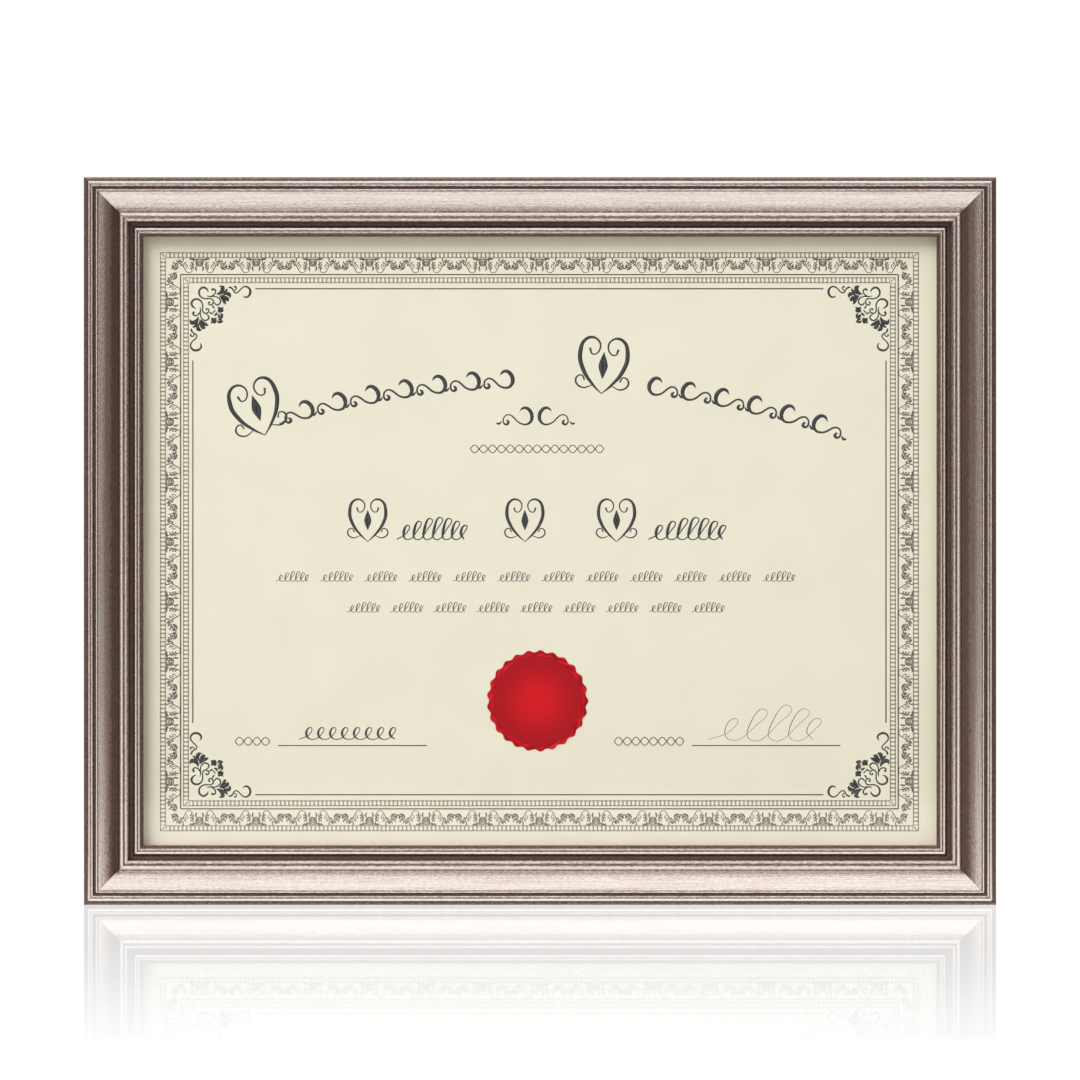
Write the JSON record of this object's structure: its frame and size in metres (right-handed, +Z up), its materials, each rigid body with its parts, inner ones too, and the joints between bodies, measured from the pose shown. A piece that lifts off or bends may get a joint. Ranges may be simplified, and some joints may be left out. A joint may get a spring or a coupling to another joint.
{
  "type": "certificate frame",
  "caption": "Landscape picture frame of reeded mitred wood moulding, glazed over a bordered certificate with a red seal, with a fold-out stand and hangers on its back.",
  "frame": {"origin": "under the middle of the whole object, on the surface that the bottom rail stands on", "axes": "+X to the viewer's right along the bottom rail, -Y out of the glazed face towards the viewer, +Z up"},
  "size_m": [0.3136, 0.0234, 0.2502],
  "materials": {
    "moulding": "pale pewter metal foil brushed along each length over dark brown, on wood",
    "glazing": "clear float glass with ground arrises",
    "certificate_paper": "matt ivory certificate paper with a printed brown border",
    "seal_foil": "embossed red foil sticker",
    "filler_card": "plain grey-brown card",
    "backing": "fibreboard faced with black-brown paper",
    "wedge_steel": "plain steel",
    "screw_steel": "zinc-plated steel",
    "button_steel": "zinc-plated pressed steel",
    "hanger_steel": "zinc-plated pressed steel",
    "hinge_steel": "nickel-plated pressed steel",
    "felt": "dark brown felt"
  },
  "bodies": {
    "frame": {"bottom_rail": "moulding", "top_rail": "moulding", "left_rail": "moulding", "right_rail": "moulding", "corner_wedges": "wedge_steel", "turn_button_screws": "screw_steel", "hanger_nails": "screw_steel", "stand_board_rivets": "hinge_steel", "backing_board": "backing", "filler_card": "filler_card", "certificate_sheet": "certificate_paper", "seal": "seal_foil", "glazing": "glazing", "top_hanger": "hanger_steel", "side_hanger": "hanger_steel", "wall_bumpers": "felt", "stand_board_leaf": "hinge_steel", "stand_pin": "hinge_steel"},
    "stand": {"stand_leg": "backing", "stand_leg_leaf": "hinge_steel", "stand_leg_rivets": "hinge_steel"},
    "button_top_left": {"turn_button_top_left": "button_steel"},
    "button_top_right": {"turn_button_top_right": "button_steel"},
    "button_bottom_left": {"turn_button_bottom_left": "button_steel"},
    "button_bottom_right": {"turn_button_bottom_right": "button_steel"},
    "button_left_upper": {"turn_button_left_upper": "button_steel"},
    "button_left_lower": {"turn_button_left_lower": "button_steel"},
    "button_right_upper": {"turn_button_right_upper": "button_steel"},
    "button_right_lower": {"turn_button_right_lower": "button_steel"}
  },
  "joints": [
    {"name": "stand_swing", "type": "hinge", "parent": "frame", "child": "stand", "pos_m": [0, 0.0092, 0.19641], "axis": [1, 0, 0], "range_deg": [0, 25]},
    {"name": "turn_top_left", "type": "hinge", "parent": "frame", "child": "button_top_left", "pos_m": [-0.08784, 0.00705, 0.24202], "axis": [0, 1, 0], "range_deg": [-90, 90]},
    {"name": "turn_top_right", "type": "hinge", "parent": "frame", "child": "button_top_right", "pos_m": [0.08784, 0.00705, 0.24202], "axis": [0, 1, 0], "range_deg": [-90, 90]},
    {"name": "turn_bottom_left", "type": "hinge", "parent": "frame", "child": "button_bottom_left", "pos_m": [-0.08784, 0.00705, 0.00817], "axis": [0, 1, 0], "range_deg": [-90, 90]},
    {"name": "turn_bottom_right", "type": "hinge", "parent": "frame", "child": "button_bottom_right", "pos_m": [0.08784, 0.00705, 0.00817], "axis": [0, 1, 0], "range_deg": [-90, 90]},
    {"name": "turn_left_upper", "type": "hinge", "parent": "frame", "child": "button_left_upper", "pos_m": [-0.14868, 0.00705, 0.19516], "axis": [0, 1, 0], "range_deg": [-90, 90]},
    {"name": "turn_left_lower", "type": "hinge", "parent": "frame", "child": "button_left_lower", "pos_m": [-0.14868, 0.00705, 0.05504], "axis": [0, 1, 0], "range_deg": [-90, 90]},
    {"name": "turn_right_upper", "type": "hinge", "parent": "frame", "child": "button_right_upper", "pos_m": [0.14868, 0.00705, 0.19516], "axis": [0, 1, 0], "range_deg": [-90, 90]},
    {"name": "turn_right_lower", "type": "hinge", "parent": "frame", "child": "button_right_lower", "pos_m": [0.14868, 0.00705, 0.05504], "axis": [0, 1, 0], "range_deg": [-90, 90]}
  ]
}
